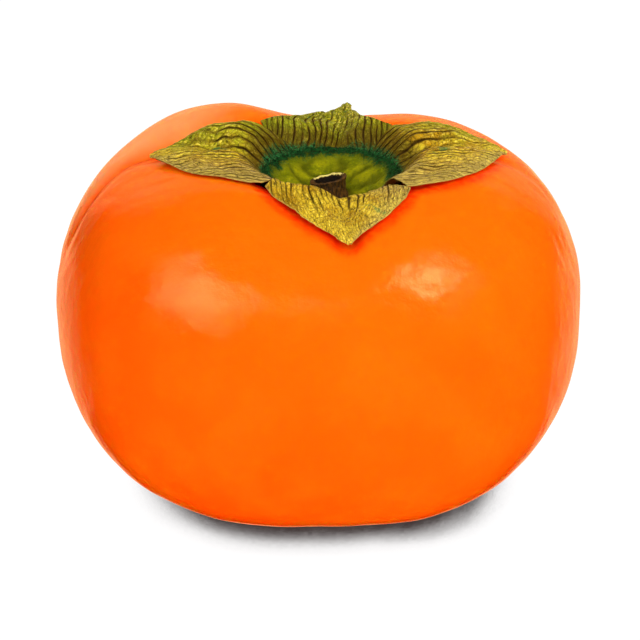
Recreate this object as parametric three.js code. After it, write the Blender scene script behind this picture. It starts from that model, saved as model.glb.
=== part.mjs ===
// A ripe, squat persimmon with four soft lobes, its dried four-lobed calyx and the stub of its stem.
// Millimetres, +Z up, front towards -Y. The origin is the middle of the flat spot it rests on.
import * as THREE from 'three';

// Fruit body: a superellipse turned about +Z, fuller above the belt than below it.
const BODY_RADIUS = 39.9;
const DEPTH_RATIO = 0.962;
const BELT_HEIGHT = 26.06;
const BELT_BULGE = 0.74;
const BELT_BULGE_SPAN = 17.2;
const CROWN_RISE = 26.6;
const CROWN_POWER = 2.975;
const BASE_POWER = 2.53;
const FOOT_DEPTH = 0.2;
const SQUARENESS = 0.028;
// How far the shoulder stands above the plain crown, every 45 degrees from +X round towards +Y.
const SHOULDER_LIFT = [2.3, 2.0, -0.3, 4.35, 1.3, 1.7, 0.25, 1.6];
const TWIST = 14;

// Hollow under the calyx, and the four creases that run outwards from it between the lobes. The losses
// are the shares of three of them that fade away past the sepal tips.
const CALYX_X = 1.8;
const HOLLOW_DEPTH = 6.8;
const HOLLOW_RADIUS = 11.5;
const CREASE_AZIMUTHS = [12.5, 85.5, 169, 275.8];
const CREASE_LOSSES = [0.9, 0, 0.45, 1];
const CREASE_DEPTH = 1.2;
const CREASE_WIDTH = 2.0;
const CREASE_TROUGH = 0.8;

// Calyx: a concave disc with four sepals round it.
const DISC_RADIUS = 10.1;
const DISC_RIM_HEIGHT = 50.35;
const DISC_FLOOR_HEIGHT = 47.05;
const DISC_FLOOR_RADIUS = 3.2;
const DISC_THICKNESS = 0.85;
const SEPAL_ROOT_RADIUS = 10.4;
const SEPAL_THICKNESS = 0.7;
const SEPAL_CLEARANCE = 0.92;
const SEPAL_GAP = 0.34;
const SEPAL_TIP_WIDTH = 1.1;
const JOINT_RADIUS = 13;
const EAR_SPAN = 2.6;
const ARCH_RADIUS = 13.2;
const ARCH_WIDTH = 2.4;
const EDGE_WAVE = 0.3;

// Stem stub: a short hollow cylinder with a torn top.
const STUB_X = 1.4;
const STUB_RADIUS = 2.75;
const STUB_WALL = 0.75;
const STUB_BASE_HEIGHT = 47.35;
const STUB_TOP_HEIGHT = 49.7;
const STUB_HOLLOW_DEPTH = 1.4;
// The torn top rises to the right, falls to the back and has this much tear.
const STUB_RISE_RIGHT = 0.19;
const STUB_FALL_BACK = 0.2;
const STUB_TEAR = 0.22;

// Mesh density.
const BODY_COLUMNS = 72;
const BODY_ROWS = 46;
const SEPAL_ROWS = 14;
const SEPAL_COLUMNS = 12;
const DISC_SEGMENTS = 40;
const STUB_SEGMENTS = 24;

// tip: [azimuth, radius] about the calyx centre. start and end: [azimuth, radius] of the corner where the
// sepal parts from its neighbour, the two powers that draw its edge in to the tip, and the azimuth at
// which the edge leaves the ring. arch: lift over the rim at five even steps from start to end. ears:
// lift of the two corners. curl: rise of the tip, and where along the sepal it begins.
const SEPALS = {
  right: {
    tip: [12.5, 27.2],
    start: [-49.5, 17.0, 1.0, 1.35, -49.5],
    end: [49.5, 14.2, 1.0, 1.0, 52.8],
    arch: [1.3, 1.2, 1.1, 1.0, 0.7],
    ears: [0, 0],
    curl: [0.5, 0.72],
    phase: 0.4,
  },
  back: {
    tip: [84.6, 27.7],
    start: [49.5, 14.5, 0.44, 1.59, 52.8],
    end: [139.2, 14.3, 0.64, 1.9, 119.7],
    arch: [0.3, 0.5, 0.45, 0.4, 0.33],
    ears: [0, 0],
    curl: [1.42, 0.3],
    phase: 1.9,
  },
  left: {
    tip: [174.5, 27.3],
    start: [139.2, 13.0, 0.8, 1.05, 119.7],
    end: [230.5, 15.4, 1.0, 1.35, 230.5],
    arch: [0.7, 0.85, 1.05, 1.2, 1.4],
    ears: [0, -0.5],
    curl: [0.4, 0.72],
    phase: 3.1,
  },
  front: {
    tip: [275.8, 25.3],
    start: [230.5, 15.4, 0.9, 1.3, 230.5],
    end: [310.5, 17.6, 1.25, 1.35, 310.5],
    arch: [1.9, 1.85, 1.6, 0.05, 0],
    ears: [-0.7, 0.5],
    curl: [0.1, 0.72],
    phase: 4.4,
  },
};

const RADIANS = Math.PI / 180;
const TURN = 2 * Math.PI;

function smoothstep(value, low, high) {
  const t = Math.min(1, Math.max(0, (value - low) / (high - low)));
  return t * t * (3 - 2 * t);
}

function bell(value) {
  return Math.exp(-value * value);
}

function makeGeometry(points, faces) {
  const geometry = new THREE.BufferGeometry();
  geometry.setAttribute('position', new THREE.Float32BufferAttribute(points.flat(), 3));
  geometry.setIndex(faces.flat());
  geometry.computeVertexNormals();
  return geometry;
}

// Two triangles between four corners given anticlockwise as seen from outside.
function pushQuad(faces, a, b, c, d) {
  faces.push([a, b, c]);
  faces.push([a, c, d]);
}

// A closed skin of rings stacked between two poles, each ring running anticlockwise seen from +Z,
// with rings going from the first pole to the last so that outwards is on the right-hand side.
function turnedSkin(firstPole, rings, lastPole) {
  const count = rings[0].length;
  const points = [firstPole, ...rings.flat(), lastPole];
  const last = points.length - 1;
  const faces = [];
  for (let j = 0; j < count; j += 1) {
    const next = (j + 1) % count;
    faces.push([0, 1 + next, 1 + j]);
    for (let i = 0; i + 1 < rings.length; i += 1) {
      const low = 1 + i * count;
      const high = low + count;
      pushQuad(faces, low + j, low + next, high + next, high + j);
    }
    faces.push([last, last - count + j, last - count + next]);
  }
  return makeGeometry(points, faces);
}

// A value between those of a list, eased from each to the next. A list may close on itself.
function easedValue(values, place) {
  const index = Math.floor(place);
  const blend = 0.5 - 0.5 * Math.cos(Math.PI * (place - index));
  const here = values[index % values.length];
  const next = values[(index + 1) % values.length];
  return here + (next - here) * blend;
}

// Lift of the shoulder at an azimuth in radians.
function shoulderLift(azimuth) {
  const turns = azimuth / TURN;
  return easedValue(SHOULDER_LIFT, (turns - Math.floor(turns)) * SHOULDER_LIFT.length);
}

// Share of the crease depth over a plan point: full on a crease line, more where it leaves the hollow
// and none under the calyx disc.
function creaseShare(x, y) {
  let share = 0;
  CREASE_AZIMUTHS.forEach((azimuth, i) => {
    const c = Math.cos(azimuth * RADIANS);
    const s = Math.sin(azimuth * RADIANS);
    const along = (x - CALYX_X) * c + y * s;
    const across = y * c - (x - CALYX_X) * s;
    const profile = smoothstep(along, 8, 13) * (1 + CREASE_TROUGH * bell((along - 15) / 5));
    const kept = 1 - CREASE_LOSSES[i] * smoothstep(along, 22, 32);
    share += kept * profile * bell(across / CREASE_WIDTH);
  });
  return share;
}

// What the lobes add and the hollow takes away over a plan point, at a share of the crown rise.
function crownRelief(x, y, azimuth, share) {
  const reach = Math.hypot(x - CALYX_X, y);
  const lobes = shoulderLift(azimuth) * share * smoothstep(reach, 8, 20);
  return lobes - HOLLOW_DEPTH * Math.exp(-((reach / HOLLOW_RADIUS) ** 4));
}

// Height of the top skin over a plan point, with the given part of the crease depth taken off.
function topHeight(x, y, creasePart) {
  const azimuth = Math.atan2(y / DEPTH_RATIO, x);
  const radius = Math.hypot(x, y / DEPTH_RATIO) / (1 - SQUARENESS * Math.cos(4 * azimuth));
  const share = (1 - (radius / BODY_RADIUS) ** CROWN_POWER) ** (1 / CROWN_POWER);
  const crown = BELT_HEIGHT + CROWN_RISE * share + crownRelief(x, y, azimuth, share);
  return crown - creasePart * CREASE_DEPTH * creaseShare(x, y);
}

// A point of the fruit's skin from a latitude (-90 to 90 degrees) and an azimuth, in radians.
function skinPoint(latitude, azimuth) {
  const upper = latitude >= 0;
  const power = upper ? CROWN_POWER : BASE_POWER;
  const rise = upper ? CROWN_RISE : BELT_HEIGHT + FOOT_DEPTH;
  const share = Math.abs(Math.sin(latitude)) ** (2 / power);
  const spread = Math.max(0, Math.cos(latitude)) ** (2 / power);
  const radius = BODY_RADIUS * spread * (1 - SQUARENESS * Math.cos(4 * azimuth))
    + BELT_BULGE * bell(latitude / (BELT_BULGE_SPAN * RADIANS));
  const x = radius * Math.cos(azimuth);
  const y = radius * Math.sin(azimuth) * DEPTH_RATIO;
  const relief = upper ? crownRelief(x, y, azimuth, share) : 0;
  const height = BELT_HEIGHT + (upper ? 1 : -1) * rise * share + relief;
  const notch = CREASE_DEPTH * smoothstep(latitude, 0, 45 * RADIANS) * creaseShare(x, y);
  const outward = (spread ** (power - 1)) / BODY_RADIUS;
  const upward = (share ** (power - 1)) / rise;
  const length = Math.hypot(outward, upward);
  const r = Math.hypot(x, y) - (notch * outward) / length;
  const z = Math.max(0, height - (notch * upward) / length);
  const unwound = 1 - smoothstep(latitude, 10 * RADIANS, 50 * RADIANS);
  const bearing = Math.atan2(y, x);
  const turned = bearing - TWIST * RADIANS * Math.cos(bearing) * unwound;
  return [r * Math.cos(turned), r * Math.sin(turned), z];
}

// Latitudes spaced evenly along the outline, from the edge of the resting spot to near the top pole.
function skinLatitudes() {
  const footShare = BELT_HEIGHT / (BELT_HEIGHT + FOOT_DEPTH);
  const first = -Math.asin(footShare ** (BASE_POWER / 2));
  const steps = 4000;
  const lengths = [0];
  const latitudes = [first];
  let before = skinPoint(first, 0.7);
  for (let i = 1; i <= steps; i += 1) {
    const latitude = first + ((Math.PI / 2 - first) * i) / steps;
    const point = skinPoint(latitude, 0.7);
    const step = Math.hypot(point[0] - before[0], point[1] - before[1], point[2] - before[2]);
    lengths.push(lengths[i - 1] + step);
    latitudes.push(latitude);
    before = point;
  }
  const rows = [];
  for (let row = 0; row < BODY_ROWS; row += 1) {
    const target = (lengths[steps] * row) / BODY_ROWS;
    rows.push(latitudes[lengths.findIndex((length) => length >= target)]);
  }
  return rows;
}

function fruitGeometry() {
  const rings = skinLatitudes().map((latitude) => {
    const ring = [];
    for (let j = 0; j < BODY_COLUMNS; j += 1) {
      const even = (TURN * j) / BODY_COLUMNS;
      ring.push(skinPoint(latitude, even - 0.09 * Math.sin(4 * even)));
    }
    return ring;
  });
  return turnedSkin([0, 0, 0], rings, [0, 0, skinPoint(Math.PI / 2, 0)[2]]);
}

// Azimuth of one edge of a sepal at a radius: out along the joint with the neighbour, past the corner,
// then in to the blunt tip. The gap at a joint that runs aslant is as wide across as at any other.
function sepalEdge(sepal, edge, inward, radius) {
  const [cornerAzimuth, cornerRadius, bulge, taper, ringAzimuth] = edge;
  const [tipAzimuth, tipRadius] = sepal.tip;
  const jointLength = JOINT_RADIUS - SEPAL_ROOT_RADIUS;
  const slant = (cornerAzimuth - ringAzimuth) * RADIANS * (JOINT_RADIUS / jointLength);
  const gap = (inward * SEPAL_GAP * Math.hypot(1, slant)) / (2 * radius * RADIANS);
  const joint = Math.min(1, Math.max(0, (radius - SEPAL_ROOT_RADIUS) / jointLength));
  const corner = ringAzimuth + (cornerAzimuth - ringAzimuth) * joint + gap;
  const tip = tipAzimuth - (inward * SEPAL_TIP_WIDTH) / (2 * radius * RADIANS);
  const out = Math.min(1, Math.max(0, (radius - cornerRadius) / (tipRadius - cornerRadius)));
  return tip + (corner - tip) * (1 - out ** bulge) ** taper;
}

// Middle surface of a sepal: along from root to tip (0 to 1), across from edge to edge (-1 to 1).
// It follows the fruit, arches over the rim of the hollow, stands up at its ears and curls at the tip.
function sepalMiddle(sepal, along, across) {
  const tipRadius = sepal.tip[1];
  const radius = SEPAL_ROOT_RADIUS + (tipRadius - SEPAL_ROOT_RADIUS) * along;
  const start = sepalEdge(sepal, sepal.start, 1, radius);
  const end = sepalEdge(sepal, sepal.end, -1, radius);
  const half = across < 0 ? sepal.tip[0] - start : end - sepal.tip[0];
  const azimuth = (sepal.tip[0] + half * across) * RADIANS;
  const x = CALYX_X + radius * Math.cos(azimuth);
  const y = radius * Math.sin(azimuth);
  const arch = easedValue(sepal.arch, Math.min(3.999, Math.max(0, 2 * (1 + across))));
  const creasePart = 0.85 - 0.6 * smoothstep(along, 0.45, 0.95);
  const lift = SEPAL_CLEARANCE + arch * bell((radius - ARCH_RADIUS) / ARCH_WIDTH);
  const curl = sepal.curl[0] * smoothstep(along, sepal.curl[1], 1);
  const startEar = bell((radius - sepal.start[1]) / EAR_SPAN) * smoothstep(-across, 0.35, 1);
  const endEar = bell((radius - sepal.end[1]) / EAR_SPAN) * smoothstep(across, 0.35, 1);
  const ears = sepal.ears[0] * startEar + sepal.ears[1] * endEar;
  const wave = EDGE_WAVE * Math.abs(across) ** 3 * Math.sin(9 * along + 2 * across + sepal.phase);
  const fade = smoothstep(along, 0.1, 0.4) * (1 - smoothstep(along, 0.85, 1));
  return new THREE.Vector3(x, y, topHeight(x, y, creasePart) + lift + curl + ears + wave * fade);
}

function sepalGeometry(sepal) {
  const columns = SEPAL_COLUMNS + 1;
  const tops = [];
  const bottoms = [];
  const small = 1e-3;
  const slope = (along, across, stepAlong, stepAcross) => sepalMiddle(
    sepal,
    along + stepAlong,
    across + stepAcross,
  ).sub(sepalMiddle(sepal, along - stepAlong, across - stepAcross));
  for (let i = 0; i <= SEPAL_ROWS; i += 1) {
    for (let j = 0; j <= SEPAL_COLUMNS; j += 1) {
      const along = i / SEPAL_ROWS;
      const across = (2 * j) / SEPAL_COLUMNS - 1;
      const here = sepalMiddle(sepal, along, across);
      const normal = slope(along, across, small, 0).cross(slope(along, across, 0, small)).normalize();
      tops.push(here.clone().addScaledVector(normal, SEPAL_THICKNESS / 2).toArray());
      bottoms.push(here.clone().addScaledVector(normal, -SEPAL_THICKNESS / 2).toArray());
    }
  }
  const lower = tops.length;
  const faces = [];
  for (let i = 0; i < SEPAL_ROWS; i += 1) {
    for (let j = 0; j < SEPAL_COLUMNS; j += 1) {
      const a = i * columns + j;
      pushQuad(faces, a, a + columns, a + columns + 1, a + 1);
      pushQuad(faces, lower + a + 1, lower + a + columns + 1, lower + a + columns, lower + a);
    }
  }
  for (let j = 0; j < SEPAL_COLUMNS; j += 1) {
    const root = j;
    const tip = SEPAL_ROWS * columns + j;
    pushQuad(faces, root, root + 1, lower + root + 1, lower + root);
    pushQuad(faces, tip + 1, tip, lower + tip, lower + tip + 1);
  }
  for (let i = 0; i < SEPAL_ROWS; i += 1) {
    const start = i * columns;
    const end = start + SEPAL_COLUMNS;
    pushQuad(faces, start + columns, start, lower + start, lower + start + columns);
    pushQuad(faces, end, end + columns, lower + end + columns, lower + end);
  }
  return makeGeometry([...tops, ...bottoms], faces);
}

// Top of the calyx disc: a flat floor round the stem, then a dish rising to a slightly raised rim.
function discTop(radius) {
  const rise = smoothstep(radius, DISC_FLOOR_RADIUS - 1.5, DISC_RADIUS + 2.2);
  const full = smoothstep(DISC_RADIUS, DISC_FLOOR_RADIUS - 1.5, DISC_RADIUS + 2.2);
  return DISC_FLOOR_HEIGHT + ((DISC_RIM_HEIGHT - DISC_FLOOR_HEIGHT) * rise) / full;
}

function circle(x, radius, z, segments) {
  const ring = [];
  for (let j = 0; j < segments; j += 1) {
    const angle = (TURN * j) / segments;
    ring.push([x + radius * Math.cos(angle), radius * Math.sin(angle), z]);
  }
  return ring;
}

function discGeometry() {
  const radii = [3.2, 4.8, 6.2, 7.6, 8.9, DISC_RADIUS];
  const layer = (drop) => radii.map(
    (radius) => circle(CALYX_X, radius, discTop(radius) - drop, DISC_SEGMENTS),
  );
  const under = layer(DISC_THICKNESS);
  const over = layer(0).reverse();
  const floor = [CALYX_X, 0, DISC_FLOOR_HEIGHT - DISC_THICKNESS];
  return turnedSkin(floor, [...under, ...over], [CALYX_X, 0, DISC_FLOOR_HEIGHT]);
}

function stubGeometry() {
  const torn = (share) => ([x, y, z], j) => {
    const angle = (TURN * j) / STUB_SEGMENTS;
    const tear = STUB_TEAR * (0.6 * Math.sin(2 * angle + 0.6) + 0.4 * Math.sin(5 * angle));
    const cut = STUB_RISE_RIGHT * (x - STUB_X) - STUB_FALL_BACK * y;
    return [x, y, z + share * (tear + cut)];
  };
  const rim = (radius, height, share) => circle(STUB_X, radius, height, STUB_SEGMENTS).map(torn(share));
  const inner = STUB_RADIUS - STUB_WALL;
  const floor = STUB_TOP_HEIGHT - STUB_HOLLOW_DEPTH;
  const rings = [
    rim(STUB_RADIUS + 0.15, STUB_BASE_HEIGHT, 0),
    rim(STUB_RADIUS - 0.1, STUB_BASE_HEIGHT + 0.8, 0),
    rim(STUB_RADIUS, STUB_TOP_HEIGHT - 0.25, 0.9),
    rim(STUB_RADIUS - 0.2, STUB_TOP_HEIGHT, 1),
    rim(inner + 0.1, STUB_TOP_HEIGHT - 0.05, 1),
    rim(inner - 0.1, floor + 0.3, 0),
    rim(inner - 0.6, floor, 0),
  ];
  return turnedSkin([STUB_X, 0, STUB_BASE_HEIGHT], rings, [STUB_X, 0, floor]);
}

function addPiece(group, name, geometry, colour, roughness) {
  const material = new THREE.MeshStandardMaterial({ color: colour, roughness });
  material.name = name;
  const mesh = new THREE.Mesh(geometry, material);
  mesh.name = name;
  group.add(mesh);
}

const persimmon = new THREE.Group();
persimmon.name = 'persimmon';
addPiece(persimmon, 'fruit', fruitGeometry(), '#ff6e08', 0.32);
addPiece(persimmon, 'calyx_disc', discGeometry(), '#8d9a16', 0.7);
for (const [side, sepal] of Object.entries(SEPALS)) {
  addPiece(persimmon, `sepal_${side}`, sepalGeometry(sepal), '#8c8630', 0.8);
}
addPiece(persimmon, 'stem_stub', stubGeometry(), '#3d2c12', 0.9);

export default persimmon;
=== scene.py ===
"""A ripe squat persimmon with its dried calyx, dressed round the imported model."""
import math

import bpy
import numpy as np
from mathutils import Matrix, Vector
from mathutils.kdtree import KDTree


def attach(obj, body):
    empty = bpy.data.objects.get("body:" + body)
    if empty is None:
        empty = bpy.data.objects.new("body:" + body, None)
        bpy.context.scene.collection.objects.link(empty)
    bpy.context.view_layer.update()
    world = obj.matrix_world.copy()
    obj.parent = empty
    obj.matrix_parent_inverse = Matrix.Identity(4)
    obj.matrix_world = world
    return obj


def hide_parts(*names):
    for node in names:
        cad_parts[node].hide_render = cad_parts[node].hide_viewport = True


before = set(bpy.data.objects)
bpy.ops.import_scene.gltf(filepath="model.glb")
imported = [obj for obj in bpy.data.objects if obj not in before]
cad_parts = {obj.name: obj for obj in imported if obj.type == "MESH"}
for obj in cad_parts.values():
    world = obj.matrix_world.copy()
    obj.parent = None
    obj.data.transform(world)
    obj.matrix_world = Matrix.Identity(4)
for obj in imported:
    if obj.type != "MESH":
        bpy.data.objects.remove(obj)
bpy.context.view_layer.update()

MM = 0.001

# --- Form of the fruit, as in the solids (millimetres, degrees) -------------------------------------
BODY_RADIUS = 39.9
DEPTH_RATIO = 0.962
BELT_HEIGHT = 26.06
BELT_BULGE = 0.74
BELT_BULGE_SPAN = 17.2
CROWN_RISE = 26.6
CROWN_POWER = 2.975
BASE_POWER = 2.53
FOOT_DEPTH = 0.2
SQUARENESS = 0.028
SHOULDER_LIFT = np.array([2.3, 2.0, -0.3, 4.35, 1.3, 1.7, 0.25, 1.6])
TWIST = 14.0
CALYX_X = 1.8
HOLLOW_DEPTH = 6.8
HOLLOW_RADIUS = 11.5
CREASE_AZIMUTHS = (12.5, 85.5, 169.0, 275.8)
CREASE_LOSSES = (0.9, 0.0, 0.45, 1.0)
CREASE_DEPTH = 1.2
CREASE_WIDTH = 2.0
CREASE_TROUGH = 0.8
CREASE_RISE = (8.0, 13.0)
CREASE_TROUGH_PLACE = 15.0
CREASE_TROUGH_SPAN = 5.0
CREASE_FADE = (22.0, 32.0)

# --- Detail of the skin, finer than the solids ------------------------------------------------------
SKIN_ROWS, SKIN_COLUMNS = 250, 350
# Which of the crease azimuths is the left one.
LEFT_CREASE = 2
UNDERSIDE_HEIGHT = 2.0
FOOT_EDGE = (8.6, 14.0)
# Blossom scar: depth and width of the pit, and of the point left in its middle.
SCAR_PIT = (0.75, 2.4)
SCAR_POINT = (0.25, 0.7)
# Painted shade: the skin turns a deeper red near these sepals, where they shade it, from the first distance
# to the second, and no lower than the height.
SEPAL_SHADE_SIDES = ("front", "right")
SEPAL_SHADE_REACH = (2.3, 0.9)
SEPAL_SHADE_LOWEST = 34.0
# Strength of the pale painted sheen on the lobe behind the left crease.
PAINTED_SHEEN_STRENGTH = 0.5

# --- Form of the calyx ------------------------------------------------------------------------------
DISC_RADIUS = 10.1
DISC_RIM_HEIGHT = 50.35
DISC_FLOOR_HEIGHT = 47.05
DISC_FLOOR_RADIUS = 3.2
DISC_THICKNESS = 0.85
DISC_OVERLAP = 0.45
DISC_ROWS, DISC_COLUMNS = 96, 240
FOLD_COUNT = 11.0
FOLD_DEPTH = 0.3
SEPAL_ROWS, SEPAL_COLUMNS = 132, 168
SEPAL_ROOT_RADIUS = 10.4
SEPAL_ROOT_TUCK = 0.25
SEPAL_CLEARANCE = 0.92
SEPAL_TIP_WIDTH = 0.6
JOINT_RADIUS = 13.0
JOINT_OVERLAP = 0.12
JOINT_OPENING = 0.34
JOINT_OPENS = (12.4, 14.0)
EAR_SPAN = 2.6
ARCH_RADIUS = 13.2
ARCH_WIDTH = 2.4
EDGE_WAVE = 0.3
LEAF_THICKNESS = 0.42
LEAF_SETTLE = 0.22
# Share of its thickness and relief that a leaf keeps at its very edge.
EDGE_SHARE = 0.35
# Two waves of a sepal's ragged edge: how far and how long.
RAGGED = ((0.16, 2.6), (0.07, 0.8))
# The deepest vein groove, and after how many veins their depths repeat.
VEIN_DEPTH = 0.11
VEIN_KINDS = 64
STUB_X = 1.4
STUB_RADIUS = 2.75
STUB_BASE_HEIGHT = 46.95
STUB_TOP_HEIGHT = 49.7
STUB_RISE_RIGHT = 0.19
STUB_FALL_BACK = 0.14
STUB_WALL = 0.62
STUB_HOLLOW_DEPTH = 1.5
STUB_HOLLOW_TAPER = 0.3
STUB_COLUMNS = 160

# tip: azimuth, radius; start and end: azimuth, radius, bulge and taper of each edge, then the azimuth
# at which it leaves the ring; arch: lift over the rim at five even steps from start edge to end edge;
# ears: lift of the two corners; curl: rise of the tip and where it begins; green and grey: how green
# and how greyish each edge is; pitch: millimetres from vein to vein at the root; lined: how strongly
# the threads along the veins show; phase and seed: of the edge's waves and of the sepal's noise.
SEPALS = {
    "right": dict(tip=(12.5, 27.2), start=(-49.5, 17.0, 1.0, 1.35, -49.5),
                  end=(49.5, 14.2, 1.0, 1.0, 52.8), arch=(1.3, 1.2, 1.1, 1.0, 0.7), ears=(0.0, 0.0),
                  curl=(0.5, 0.72), phase=0.4, green=(0.0, 0.75), grey=(0.9, 0.0), pitch=1.15,
                  lined=0.16, seed=11),
    "back": dict(tip=(84.6, 27.7), start=(49.5, 14.5, 0.44, 1.59, 52.8),
                 end=(139.2, 14.3, 0.64, 1.9, 119.7), arch=(0.3, 0.5, 0.45, 0.4, 0.33), ears=(0.0, 0.0),
                 curl=(1.42, 0.3), phase=1.9, green=(0.95, 1.2), grey=(0.0, 0.0), pitch=1.0,
                 lined=0.02, seed=23),
    "left": dict(tip=(174.5, 27.3), start=(139.2, 13.0, 0.8, 1.05, 119.7),
                 end=(230.5, 15.4, 1.0, 1.35, 230.5), arch=(0.7, 0.85, 1.05, 1.2, 1.4), ears=(0.0, -0.5),
                 curl=(0.4, 0.72), phase=3.1, green=(1.0, 0.05), grey=(0.0, 0.9), pitch=1.15,
                 lined=0.16, seed=37),
    "front": dict(tip=(275.8, 25.3), start=(230.5, 15.4, 0.9, 1.3, 230.5),
                  end=(310.5, 17.6, 1.25, 1.35, 310.5), arch=(1.9, 1.85, 1.6, 0.05, 0.0), ears=(-0.7, 0.5),
                  curl=(0.1, 0.72), phase=4.4, green=(0.0, 0.1), grey=(0.0, 0.7), pitch=0.95,
                  lined=-0.02, seed=53),
}

# Blue-green flecks on the sepals: x, y, z of the middle and radius.
GREEN_FLECKS = (
    (-16.0, 3.1, 53.4, 1.0), (-14.8, 2.9, 53.2, 1.1), (-13.6, 2.4, 52.9, 1.0), (-17.1, 4.9, 54.6, 0.8),
    (18.1, 0.0, 54.2, 0.9), (18.9, -0.1, 54.3, 0.9), (17.0, -1.8, 54.5, 0.7), (-0.9, 19.9, 51.9, 0.9),
    (0.1, 20.6, 51.7, 0.7), (2.1, 21.7, 51.5, 1.0), (4.3, 21.3, 51.6, 0.7), (-1.6, 16.7, 52.5, 0.7),
    (7.4, 14.8, 53.6, 0.8), (7.4, -17.8, 53.0, 0.9), (8.5, -19.0, 52.9, 0.8), (9.5, -19.7, 52.7, 0.7),
)

# Small dents and blisters of the skin: x, y, z of the middle, radius, depth (below zero stands out).
SKIN_MARKS = (
    (15.2, -16.2, 52.6, 1.1, 0.16), (16.4, -17.0, 52.3, 0.9, 0.14), (15.0, -17.8, 52.2, 0.9, 0.13),
    (17.2, -21.0, 51.0, 1.5, 0.10), (19.6, -20.4, 50.7, 1.3, 0.08), (21.4, -22.0, 49.7, 1.8, 0.10),
    (16.5, -28.3, 47.4, 0.7, 0.07), (17.4, -29.4, 46.3, 0.6, -0.06), (15.5, -30.5, 45.9, 0.7, 0.07),
    (19.7, -27.7, 46.7, 0.8, 0.06), (18.1, -30.3, 45.2, 0.7, -0.06), (20.8, -26.0, 47.4, 0.9, 0.06),
    (14.2, -29.2, 47.1, 0.6, -0.05), (-20.0, -27.0, 47.2, 2.6, 0.07), (-26.0, 20.0, 45.7, 1.6, 0.12),
    (24.0, 24.0, 42.7, 1.4, 0.12), (-6.0, 36.5, 28.7, 1.7, 0.10), (34.0, -12.0, 36.7, 1.5, 0.08),
)


def smoothstep(value, low, high):
    t = np.clip((value - low) / (high - low), 0.0, 1.0)
    return t * t * (3.0 - 2.0 * t)


def bell(value):
    return np.exp(-value * value)


def ripple(points, size, seed, waves=14):
    """Smooth seeded noise, typically 0.7 from zero: plane waves about `size` long, any direction."""
    rng = np.random.RandomState(seed)
    total = 0.0
    for _ in range(waves):
        direction = rng.normal(size=points.shape[-1])
        direction *= 2.0 * math.pi / (size * np.linalg.norm(direction) * rng.uniform(0.6, 1.6))
        total = total + np.sin(points @ direction + rng.uniform(0.0, 2.0 * math.pi))
    return total / math.sqrt(waves)


def shoulder_lift(azimuth):
    """Lift of the shoulder, eased between the heights given every 45 degrees from +X towards +Y."""
    count = len(SHOULDER_LIFT)
    place = (azimuth % (2.0 * math.pi)) * count / (2.0 * math.pi)
    index = np.floor(place).astype(int)
    blend = 0.5 - 0.5 * np.cos(math.pi * (place - index))
    here, following = SHOULDER_LIFT[index % count], SHOULDER_LIFT[(index + 1) % count]
    return here + (following - here) * blend


def crease_share(x, y):
    """Share of the crease depth: none at the disc, most where a crease leaves the hollow, then fading."""
    share = 0.0
    for azimuth, loss in zip(np.radians(CREASE_AZIMUTHS), CREASE_LOSSES):
        along = (x - CALYX_X) * np.cos(azimuth) + y * np.sin(azimuth)
        across = y * np.cos(azimuth) - (x - CALYX_X) * np.sin(azimuth)
        trough = CREASE_TROUGH * bell((along - CREASE_TROUGH_PLACE) / CREASE_TROUGH_SPAN)
        profile = smoothstep(along, *CREASE_RISE) * (1.0 + trough)
        kept = 1.0 - loss * smoothstep(along, *CREASE_FADE)
        share = share + kept * profile * bell(across / CREASE_WIDTH)
    return share


def crown_relief(x, y, azimuth, share):
    """What the lobes add and the hollow takes away, at a share of the crown's rise."""
    reach = np.hypot(x - CALYX_X, y)
    lobes = shoulder_lift(azimuth) * share * smoothstep(reach, 8.0, 20.0)
    return lobes - HOLLOW_DEPTH * np.exp(-((reach / HOLLOW_RADIUS) ** 4))


def top_height(x, y, crease_part):
    """Height of the top skin over a plan point, with a part of the crease depth taken off."""
    azimuth = np.arctan2(y / DEPTH_RATIO, x)
    radius = np.hypot(x, y / DEPTH_RATIO) / (1.0 - SQUARENESS * np.cos(4.0 * azimuth))
    share = (1.0 - (radius / BODY_RADIUS) ** CROWN_POWER) ** (1.0 / CROWN_POWER)
    crown = BELT_HEIGHT + CROWN_RISE * share + crown_relief(x, y, azimuth, share)
    return crown - crease_part * CREASE_DEPTH * crease_share(x, y)


def skin_plan(latitude, azimuth):
    """Plan position of the skin before the twist, and how much of its full spread it has."""
    power = np.where(latitude >= 0.0, CROWN_POWER, BASE_POWER)
    spread = np.maximum(np.cos(latitude), 0.0) ** (2.0 / power)
    radius = BODY_RADIUS * spread * (1.0 - SQUARENESS * np.cos(4.0 * azimuth))
    radius = radius + BELT_BULGE * bell(latitude / math.radians(BELT_BULGE_SPAN))
    return radius * np.cos(azimuth), radius * np.sin(azimuth) * DEPTH_RATIO, spread


def skin_points(latitude, azimuth):
    """Points of the skin, with the creases cut in and the lobes twisted below the shoulder."""
    upper = latitude >= 0.0
    power = np.where(upper, CROWN_POWER, BASE_POWER)
    rise = np.where(upper, CROWN_RISE, BELT_HEIGHT + FOOT_DEPTH)
    share = np.abs(np.sin(latitude)) ** (2.0 / power)
    x, y, spread = skin_plan(latitude, azimuth)
    sign = np.where(upper, 1.0, -1.0)
    height = BELT_HEIGHT + sign * rise * share + np.where(upper, crown_relief(x, y, azimuth, share), 0.0)
    notch = CREASE_DEPTH * smoothstep(latitude, 0.0, math.pi / 4) * crease_share(x, y)
    outward, upward = spread ** (power - 1.0) / BODY_RADIUS, share ** (power - 1.0) / rise
    length = np.hypot(outward, upward)
    radius = np.hypot(x, y) - notch * outward / length
    z = np.maximum(0.0, height - notch * upward / length)
    unwound = 1.0 - smoothstep(latitude, math.radians(10.0), math.radians(50.0))
    bearing = np.arctan2(y, x)
    turned = bearing - math.radians(TWIST) * np.cos(bearing) * unwound
    return np.stack([radius * np.cos(turned), radius * np.sin(turned), z], axis=-1)


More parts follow.
